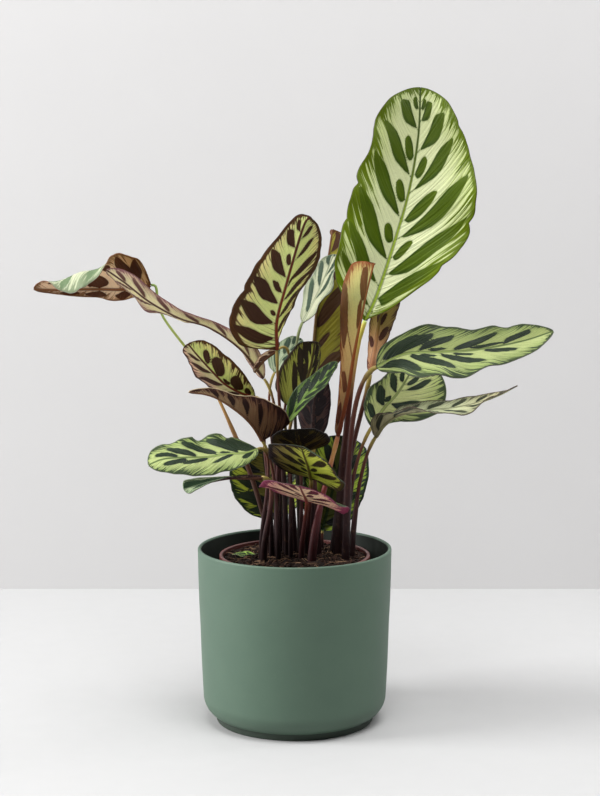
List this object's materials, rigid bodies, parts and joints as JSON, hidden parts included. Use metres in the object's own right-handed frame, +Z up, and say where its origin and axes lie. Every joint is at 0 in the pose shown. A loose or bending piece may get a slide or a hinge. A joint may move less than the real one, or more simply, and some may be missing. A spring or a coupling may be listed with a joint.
{
  "type": "potted peacock plant",
  "caption": "Peacock plant with patterned oval leaves on thin stalks, in a nursery pot of soil set in a plain round cover pot.",
  "frame": {"origin": "centre of the cover pot's foot, on the surface it stands on", "axes": "+Z up along the pot's axis; -Y is the front seen in the picture, +X is to its right"},
  "size_m": [0.3876, 0.1676, 0.4733],
  "materials": {
    "cover_pot": "matte",
    "nursery_pot": "matte",
    "soil": "rough",
    "leaf": "satin",
    "leaf_purple": "satin",
    "stalk": "satin",
    "dry_leaf": "matte"
  },
  "bodies": {
    "root": {"cover_pot": "cover_pot", "nursery_pot": "nursery_pot", "soil": "soil", "leaf_01_blade": "leaf", "leaf_01_stalk": "stalk", "leaf_02_blade": "leaf_purple", "leaf_02_stalk": "stalk", "leaf_03_blade": "leaf", "leaf_03_stalk": "stalk", "leaf_04_blade": "leaf_purple", "leaf_04_stalk": "stalk", "leaf_05_blade": "leaf_purple", "leaf_05_stalk": "stalk", "leaf_06_blade": "leaf_purple", "leaf_06_stalk": "stalk", "leaf_07_blade": "leaf", "leaf_07_stalk": "stalk", "leaf_08_blade": "leaf", "leaf_08_stalk": "stalk", "leaf_09_blade": "leaf", "leaf_09_stalk": "stalk", "leaf_10_blade": "leaf_purple", "leaf_10_stalk": "stalk", "leaf_11_blade": "leaf_purple", "leaf_11_stalk": "stalk", "leaf_12_blade": "leaf_purple", "leaf_12_stalk": "stalk", "leaf_13_blade": "leaf_purple", "leaf_13_stalk": "stalk", "leaf_14_blade": "leaf_purple", "leaf_14_stalk": "stalk", "leaf_15_blade": "leaf", "leaf_15_stalk": "stalk", "leaf_16_blade": "leaf_purple", "leaf_16_stalk": "stalk", "leaf_17_blade": "leaf", "leaf_17_stalk": "stalk", "leaf_18_blade": "leaf", "leaf_18_stalk": "stalk", "leaf_19_blade": "leaf", "leaf_19_stalk": "stalk", "leaf_20_blade": "leaf", "leaf_20_stalk": "stalk", "leaf_21_blade": "leaf_purple", "leaf_21_stalk": "stalk", "leaf_22_blade": "leaf_purple", "leaf_22_stalk": "stalk", "leaf_23_blade": "leaf_purple", "leaf_23_stalk": "stalk", "leaf_24_blade": "leaf", "leaf_24_stalk": "stalk", "leaf_25_blade": "leaf", "leaf_25_stalk": "stalk", "fallen_leaf": "dry_leaf"}
  },
  "joints": []
}
